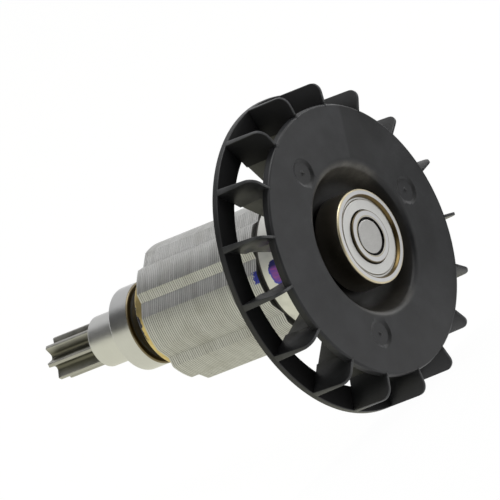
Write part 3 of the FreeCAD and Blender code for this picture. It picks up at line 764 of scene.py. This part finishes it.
def repeat_piece(made, tree, sharp, **sizes):
    """Run a geometry tree on a piece and keep the result as its plain mesh."""
    modifier = made.modifiers.new(tree.name, "NODES")
    modifier.node_group = tree
    for item in tree.interface.items_tree:
        if item.in_out == "INPUT" and item.name.replace(" ", "_") in sizes:
            modifier[item.identifier] = sizes[item.name.replace(" ", "_")]
    evaluated = made.evaluated_get(bpy.context.evaluated_depsgraph_get())
    mesh = bpy.data.meshes.new_from_object(evaluated)
    made.modifiers.clear()
    made.data = mesh
    mesh.shade_smooth()
    mesh.set_sharp_from_angle(angle=math.radians(sharp))


def plain_mesh(name, built):
    """Turn what was built face by face into a piece."""
    mesh = bpy.data.meshes.new(name)
    built.to_mesh(mesh)
    built.free()
    return placed(name, mesh)


def stand_for(made, body, slot, *nodes):
    """Let a piece ride on its body in place of its nodes."""
    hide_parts(*nodes)
    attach(made, body)


def gap_corners():
    """The corners of one gap between two teeth, given as (across, up, rounding)."""
    flank = math.radians(GAP_FLANK)
    foot = GAP_ROUND * math.cos(flank)
    foot_up = PINION_ROOT + GAP_ROUND - GAP_ROUND * math.sin(flank)
    bottom = foot - (foot_up - PINION_ROOT) * math.tan(flank)
    top = foot + (FLANK_TOP - foot_up) * math.tan(flank)
    return ((top, FLANK_TOP, TIP_ROUND), (bottom, PINION_ROOT, GAP_ROUND),
            (-bottom, PINION_ROOT, GAP_ROUND), (-top, FLANK_TOP, TIP_ROUND))


def shaft_and_pinion():
    """The ground bar, and the straight teeth cut on its front end."""
    finish = FINISHES["shaft_steel"]
    corners = []
    for tooth in range(PINION_TEETH):
        turn = Matrix.Rotation(math.radians(PINION_TURN + 360 * tooth / PINION_TEETH), 2)
        for across, up, rounding in gap_corners():
            spot = turn @ Vector((across, up))
            corners.append((spot.x, spot.y, rounding))
    outline, _ = rounded(corners)
    stations = [(PINION_FRONT, PINION_TIP - PINION_CHAMFER), (PINION_FRONT + PINION_CHAMFER, PINION_TIP),
                (PINION_BACK, PINION_TIP)]
    teeth = prism("pinion_teeth", outline, stations, finish)
    stand_for(teeth, "rotor", "shaft_steel", "rotor_shaft")
    bar = turned("shaft_bar", [
        (PINION_BACK, 0.02), (PINION_BACK, SHAFT_RADIUS, 0.05), (SHAFT_REAR, SHAFT_RADIUS, 0.4),
        (SHAFT_REAR, 0.06), (SHAFT_REAR, 0.02),
    ], finish, facets=96)
    stand_for(bar, "rotor", "shaft_steel", "rotor_shaft")


def sleeve_and_rings():
    """The distance sleeve, the two balance rings and the washer."""
    sleeve = turned("sleeve", [
        (PINION_BACK, SHAFT_RADIUS, 0.1), (PINION_BACK, SLEEVE_RADIUS, 0.35),
        (SLEEVE_BACK, SLEEVE_RADIUS, 0.35), (SLEEVE_BACK, SHAFT_RADIUS, 0.1),
    ], FINISHES["sleeve_steel"], facets=120)
    stand_for(sleeve, "rotor", "sleeve_steel", "distance_sleeve")
    brass = turned("brass_ring", [
        (BRASS_HUB_FRONT, SHAFT_RADIUS, 0.1), (BRASS_HUB_FRONT, BRASS_HUB_RADIUS, 0.2),
        (BRASS_FRONT, BRASS_HUB_RADIUS, 0.1), (BRASS_FRONT, BRASS_RADIUS, 0.45),
        (CORE_FRONT, BRASS_RADIUS, 0.1), (CORE_FRONT, SHAFT_RADIUS, 0.1),
    ], FINISHES["ring_brass"])
    stand_for(brass, "rotor", "ring_brass", "front_balance_ring")
    washer = turned("washer", [
        (CORE_BACK, SHAFT_RADIUS, 0.05), (CORE_BACK, WASHER_RADIUS, 0.1),
        (WASHER_BACK, WASHER_RADIUS, 0.1), (WASHER_BACK, SHAFT_RADIUS, 0.05),
    ], FINISHES["washer_plastic"])
    stand_for(washer, "rotor", "washer_plastic", "insulating_washer")
    ring = turned("silver_ring", [
        (WASHER_BACK, SHAFT_RADIUS, 0.05), (WASHER_BACK, REAR_RING_RADIUS, 0.12),
        (HUB_BACK, REAR_RING_RADIUS, 0.6), (HUB_BACK, SHAFT_RADIUS, 0.05),
    ], FINISHES["ring_aluminium"])
    stand_for(ring, "rotor", "ring_aluminium", "rear_balance_ring")


def sheet_outline():
    """Outline of one lamination: pole faces, webs, and the notches between them."""
    pole_face = [(CORE_RADIUS, degrees) for degrees in range(-14, 15, 2)]
    notch = [(NOTCH_RADIUS + 0.06, 26.2), (NOTCH_RADIUS, 27), (NOTCH_RADIUS + 0.1, 27.7)]
    web_face = [(CORE_RADIUS, degrees) for degrees in range(34, 57, 2)]
    next_notch = [(NOTCH_RADIUS + 0.1, 62.3), (NOTCH_RADIUS, 63), (NOTCH_RADIUS + 0.06, 63.8)]
    outline = []
    for pole in range(POLES):
        middle = 90 + CORE_TURN + 360 / POLES * pole
        for radius, degrees in pole_face + notch + web_face + next_notch:
            outline.append(at_angle(radius, middle + degrees))
    return outline


def sheet_holes():
    """The bore and the four magnet slots of one lamination."""
    holes = [[at_angle(SHAFT_RADIUS, 15 * step) for step in range(24)]]
    for pole in range(POLES):
        turn = Matrix.Rotation(math.radians(CORE_TURN + 360 / POLES * pole), 2)
        slot = ((SLOT_HALF_WIDTH, SLOT_INNER), (SLOT_HALF_WIDTH, SLOT_OUTER),
                (-SLOT_HALF_WIDTH, SLOT_OUTER), (-SLOT_HALF_WIDTH, SLOT_INNER))
        holes.append([turn @ Vector(corner) for corner in slot])
    return holes


def laminated_core():
    """Sixty punched sheets, made from one sheet by the stack tree."""
    sheet = bmesh.new()
    thickness = LAMINATION_PITCH - LAMINATION_GAP
    edge = LAMINATION_EDGE
    rings = []
    for along, inset in ((0, edge), (edge, 0), (thickness - edge, 0), (thickness, edge)):
        loops = []
        for place, outline in enumerate([sheet_outline()] + sheet_holes()):
            size = MM * (1 - inset / CORE_RADIUS) if place == 0 else MM
            loops.append([sheet.verts.new(((CORE_FRONT + along) * MM, point.x * size, point.y * size))
                          for point in outline])
        rings.append(loops)
    for low, high in zip(rings, rings[1:]):
        for near, far in zip(low, high):
            for step in range(len(near)):
                after = (step + 1) % len(near)
                sheet.faces.new((near[step], near[after], far[after], far[step]))
    for loops in (rings[0], rings[-1]):
        edges = [sheet.edges.get((loop[step], loop[(step + 1) % len(loop)])) for loop in loops
                 for step in range(len(loop))]
        bmesh.ops.triangle_fill(sheet, edges=edges, use_beauty=True)
    bmesh.ops.recalc_face_normals(sheet, faces=sheet.faces)
    core = plain_mesh("laminations", sheet)
    repeat_piece(core, stack_along_the_axis(), 20, Sheets=LAMINATIONS, Pitch=LAMINATION_PITCH * MM,
                 Loose_turn=math.radians(LAMINATION_LOOSENESS), Seed=7, Finish=FINISHES["lamination_steel"])
    stand_for(core, "rotor", "lamination_steel", "rotor_core")


def gate_dent(across, up):
    """Depth of the gate marks at a point of the disc's face, and the slope there."""
    for middle in GATE_MIDDLES:
        offset = Vector((across, up)) - middle
        far = offset.length
        if far < GATE_MARK:
            depth = GATE_DEPTH * min(1.0, (GATE_MARK - far) / GATE_BEVEL)
            slope = -GATE_DEPTH / GATE_BEVEL if GATE_MARK - far < GATE_BEVEL else 0.0
            if far < GATE_NUB:
                depth -= GATE_NUB_RISE * (1 - (far / GATE_NUB) ** 2)
                slope += 2 * GATE_NUB_RISE * far / GATE_NUB ** 2
            way = offset / far if far > 0 else Vector((0, 0))
            return depth, way.x * slope, way.y * slope
    return 0.0, 0.0, 0.0


def disc_section():
    """Section of the fan's disc with its recess and hub, finely stepped where the gate marks are."""
    edge = DISC_RADIUS - 1.0
    lip = CUP_MOUTH + CUP_LIP_RUN
    fine_step = 0.25
    face = []
    radius = GATE_RADIUS + GATE_MARK + 0.3
    while radius > lip:
        face.append((RIM_FACE + (DISC_FACE - RIM_FACE) * (edge - radius) / (edge - lip), radius))
        radius -= fine_step
    recess = [
        (HUB_FACE, SHAFT_RADIUS, 0.05), (HUB_FACE, HUB_FACE_RADIUS, 0.1), (CUP_FLOOR, HUB_FACE_RADIUS, 0.3),
        (CUP_FLOOR, CUP_FLOOR_RADIUS, CUP_FLOOR_ROUND), (DISC_FACE, CUP_MOUTH, CUP_LIP), (DISC_FACE, lip)]
    back = [
        (RIM_FACE, edge), (RIM_FACE, DISC_RADIUS, 0.9), (DISC_BACK, DISC_RADIUS, 0.15),
        (DISC_BACK, CUP_MOUTH + CUP_WALL, 0.5), (CUP_FLOOR_BACK, CUP_FLOOR_RADIUS + CUP_WALL, 0.5),
        (CUP_FLOOR_BACK, HUB_RADIUS, 0.5), (HUB_BACK, HUB_RADIUS, 0.2), (HUB_BACK, SHAFT_RADIUS, 0.05)]
    return recess + face[::-1] + back


def fan():
    """The black moulding: disc with its recess and hub, shroud ring, and blades."""
    finish = FINISHES["fan_plastic"]
    disc = turned("fan_disc", disc_section(), finish, facets=540, dent=gate_dent)
    stand_for(disc, "rotor", "fan_plastic", "fan")
    shroud = turned("fan_shroud", [
        (FAN_BACK, SHROUD_INNER, 0.15), (FAN_BACK, FAN_RADIUS, 0.2),
        (SHROUD_FRONT, FAN_RADIUS, 0.2), (SHROUD_FRONT, SHROUD_INNER, 0.15),
    ], finish, facets=240)
    stand_for(shroud, "rotor", "fan_plastic", "fan")
    blades = fan_blade()
    repeat_piece(blades, round_the_axis(), 30, Count=BLADES, Finish=finish)
    stand_for(blades, "rotor", "fan_plastic", "fan")


def fan_blade():
    """One blade on +Z: a thick outer part with a rounded corner, and a thinner part in to the recess."""
    mesh = bmesh.new()
    sunk = BLADE_FOOT_SUNK
    outer = [(BLADE_FOOT, BLADE_PARTING), (BLADE_FOOT, SHROUD_INNER + sunk),
             (FAN_BACK + sunk, SHROUD_INNER + sunk), (FAN_BACK + sunk, FAN_RADIUS - sunk),
             (SHROUD_FRONT - 5 * sunk, FAN_RADIUS - sunk), (SHROUD_FRONT - sunk, FAN_RADIUS)]
    corner_steps = 8
    for step in range(corner_steps + 1):
        angle = math.radians(90 * step / corner_steps)
        outer.append((RIM_FACE - BLADE_CORNER * (1 - math.sin(angle)),
                      FAN_RADIUS - BLADE_CORNER * (1 - math.cos(angle))))
    outer += [(RIM_FACE, DISC_RADIUS - 0.75), (BLADE_TOP, BLADE_PARTING)]
    inner = [(BLADE_FOOT, BLADE_PARTING + BLADE_OVERLAP), (BLADE_TOP, BLADE_PARTING + BLADE_OVERLAP),
             (BLADE_TOP, BLADE_ROOT), (SHROUD_FRONT + 1.0, BLADE_ROOT)]
    for outline, (back, front), back_at, front_at in (
            (outer, OUTER_BLADE_THICKNESS, FAN_BACK, RIM_FACE),
            (inner, INNER_BLADE_THICKNESS, SHROUD_FRONT, BLADE_TOP)):
        sides = []
        for side in (1, -1):
            loop = []
            for along, up in outline:
                share = (along - back_at) / (front_at - back_at)
                half = (back + (front - back) * share) / 2
                loop.append(mesh.verts.new((along * MM, side * half * MM, up * MM)))
            sides.append(loop)
            mesh.faces.new(loop)
        for step in range(len(outline)):
            after = (step + 1) % len(outline)
            mesh.faces.new((sides[0][step], sides[0][after], sides[1][after], sides[1][step]))
    bmesh.ops.recalc_face_normals(mesh, faces=mesh.faces)
    bmesh.ops.bevel(mesh, geom=mesh.edges[:], offset=BLADE_EDGE * MM, segments=2, profile=0.5,
                    affect="EDGES", clamp_overlap=True)
    return plain_mesh("fan_blades", mesh)


def bearing(name, cover, ring_body, middle, half, outer, mouth, land, seat_depth, rise):
    """The visible pieces of one ball bearing: two rings and two pressed covers."""
    seat = mouth - 0.25
    ledge = seat - 0.4
    flat = seat - 0.55
    seat_face = half - seat_depth
    bevel = 0.45
    rings = {
        "outer": [(half, outer, 0.35), (half, mouth, 0.06), (half - bevel, seat, 0.05),
                  (seat_face, seat, 0.02), (seat_face, ledge, 0.05)],
        "inner": [(half, land, 0.12), (half, SHAFT_RADIUS + bevel, 0.08), (half - bevel, SHAFT_RADIUS, 0.05)],
    }
    for part, section in rings.items():
        corners = [(middle + along, radius, rounding) for along, radius, rounding in section]
        corners += [(middle - along, radius, rounding) for along, radius, rounding in section[::-1]]
        ring = turned("%s_%s_race" % (name, part), corners, FINISHES["bearing_steel"])
        body = ring_body if part == "outer" else "rotor"
        stand_for(ring, body, "bearing_steel", "%s_bearing_%s_ring" % (name, part))
    edge = land + 0.2
    face = seat_face + 0.3
    section = [(seat_face, seat, 0.02), (face, seat, 0.08), (face, flat + 0.2, 0.1),
               (face + rise, flat, 0.15), (face + rise, edge, 0.1), (seat_face + rise, edge, 0.05),
               (seat_face + rise, flat - 0.2, 0.1), (seat_face, flat, 0.1)]
    slot = "shield_steel" if cover == "shield" else "seal_rubber"
    for side in (1, -1):
        where = "outer" if (side > 0) == (name == "rear") else "inner"
        plate = turned("%s_%s_%s_plate" % (name, where, cover),
                       [(middle + side * along, radius, rounding) for along, radius, rounding in section],
                       FINISHES[slot])
        stand_for(plate, ring_body, slot, "%s_bearing_%s_%s" % (name, cover, where))


def dress_hidden_nodes(frame):
    """Give the pieces that keep their own mesh the finish of their slot."""
    slots = {entry["node"]: entry["material_slot"] for entry in frame["record"]["subparts"]}
    for name, node in frame["nodes"].items():
        node.data.materials.clear()
        node.data.materials.append(FINISHES[slots[name]])


def camera():
    """The photograph's own view."""
    lens = bpy.data.cameras.new("view")
    lens.lens = CAMERA_LENS
    lens.sensor_width = CAMERA_SENSOR
    lens.clip_start = 0.1
    lens.clip_end = 10.0
    view = placed("view", lens)
    right = CAMERA_RIGHT.normalized()
    up = (CAMERA_UP - CAMERA_UP.project(right)).normalized()
    turn = Matrix((right, up, right.cross(up))).transposed().to_4x4()
    view.matrix_world = Matrix.Translation(CAMERA_PLACE * MM) @ turn
    bpy.context.scene.camera = view


def seen_directly(tree):
    """1 for what the camera sees, itself or in metal or glass."""
    path = tree.nodes.new("ShaderNodeLightPath").outputs
    share = worked(tree, "MAXIMUM", path["Is Camera Ray"], path["Is Glossy Ray"])
    return worked(tree, "MAXIMUM", share, path["Is Transmission Ray"])


def backdrop():
    """White all round, a little weaker as light on dull surfaces."""
    world = bpy.data.worlds.new("studio")
    world.use_nodes = True
    bpy.context.scene.world = world
    tree = world.node_tree
    level = add_node(tree, "ShaderNodeMix", {"data_type": "FLOAT"})
    for socket, value in zip(level.inputs[:1] + level.inputs[2:4],
                             (seen_directly(tree), LIGHT_ON_DULL_SURFACES, 1.0)):
        feed(tree, socket, value)
    background = tree.nodes["Background"].inputs
    feed(tree, background["Strength"], level.outputs[0])
    feed(tree, background["Color"], (*WHITE, 1.0))


def pale_floor():
    """The pale floor under the fan, with a faint shadow."""
    finish = bpy.data.materials.new("floor")
    finish.use_nodes = True
    tree = finish.node_tree
    plain = tree.nodes["Principled BSDF"]
    feed(tree, plain.inputs["Base Color"], (*FLOOR_COLOUR, 1.0))
    feed(tree, plain.inputs["Roughness"], FLOOR_ROUGHNESS)
    glow = tree.nodes.new("ShaderNodeEmission")
    blend = tree.nodes.new("ShaderNodeMixShader")
    share = worked(tree, "MULTIPLY", seen_directly(tree), FLOOR_GLOW)
    for socket, value in zip(blend.inputs, (share, plain.outputs[0], glow.outputs[0])):
        feed(tree, socket, value)
    feed(tree, tree.nodes["Material Output"].inputs[0], blend.outputs[0])
    middle = Vector((0, 0, -FAN_RADIUS - FLOOR_GAP))
    floor = flat_square("floor", middle, Vector((0, 0, 1)), FLOOR_SIZE, FLOOR_SIZE, finish)


def flat_square(name, middle, facing, width, height, finish):
    """A flat sheet that faces a direction."""
    turn = facing.to_track_quat("Z", "Y").to_matrix()
    corners = [middle + turn @ Vector((across * width / 2, up * height / 2, 0))
               for across, up in ((-1, -1), (1, -1), (1, 1), (-1, 1))]
    mesh = bpy.data.meshes.new(name)
    mesh.from_pydata([corner * MM for corner in corners], [], [(0, 1, 2, 3)])
    mesh.materials.append(finish)
    return placed(name, mesh)


def studio_cards():
    """Dark, grey and cream cards for the steel and the plastic to mirror; the camera doesn't see them."""
    for name, middle, facing, width, height, glow in CARDS:
        finish = bpy.data.materials.new(name)
        finish.use_nodes = True
        surface = finish.node_tree.nodes["Principled BSDF"].inputs
        surface["Base Color"].default_value = (*BLACK, 1.0)
        surface["Roughness"].default_value = 1.0
        surface["Emission Color"].default_value = (*glow, 1.0)
        surface["Emission Strength"].default_value = 1.0
        card = flat_square(name, Vector(middle), Vector(facing).normalized(), width, height, finish)
        card.visible_camera = False
        card.visible_shadow = False


def softboxes():
    """A soft lamp above and behind, and a small one on the right that glints on the recess's lip."""
    for name, place, width, height, watts in SOFTBOXES:
        lamp = bpy.data.lights.new(name, "AREA")
        lamp.shape = "RECTANGLE"
        lamp.size = width * MM
        lamp.size_y = height * MM
        lamp.energy = watts
        box = placed(name, lamp)
        box.location = Vector(place) * MM
        box.rotation_euler = (LAMP_TARGET * MM - box.location).to_track_quat("-Z", "Y").to_euler()


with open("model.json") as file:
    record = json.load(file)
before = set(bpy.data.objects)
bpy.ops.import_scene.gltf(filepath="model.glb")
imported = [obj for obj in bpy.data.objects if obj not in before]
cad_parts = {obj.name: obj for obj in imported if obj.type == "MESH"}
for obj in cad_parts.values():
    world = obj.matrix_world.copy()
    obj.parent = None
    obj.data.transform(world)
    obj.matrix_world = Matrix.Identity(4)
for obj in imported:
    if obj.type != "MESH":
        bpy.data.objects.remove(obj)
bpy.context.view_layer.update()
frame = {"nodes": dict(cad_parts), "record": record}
bpy.context.scene.view_settings.view_transform = "Standard"
camera()
backdrop()
pale_floor()
studio_cards()
softboxes()
dress_hidden_nodes(frame)
shaft_and_pinion()
sleeve_and_rings()
laminated_core()
fan()
bearing("rear", "shield", "rear_outer_ring", middle=0.0, half=3.0, outer=REAR_BEARING_RADIUS,
        mouth=8.25, land=5.25, seat_depth=1.0, rise=0.25)
bearing("front", "seal", "front_outer_ring", middle=FRONT_BEARING_MIDDLE, half=2.5,
        outer=FRONT_BEARING_RADIUS, mouth=7.5, land=5.0, seat_depth=0.8, rise=0.2)
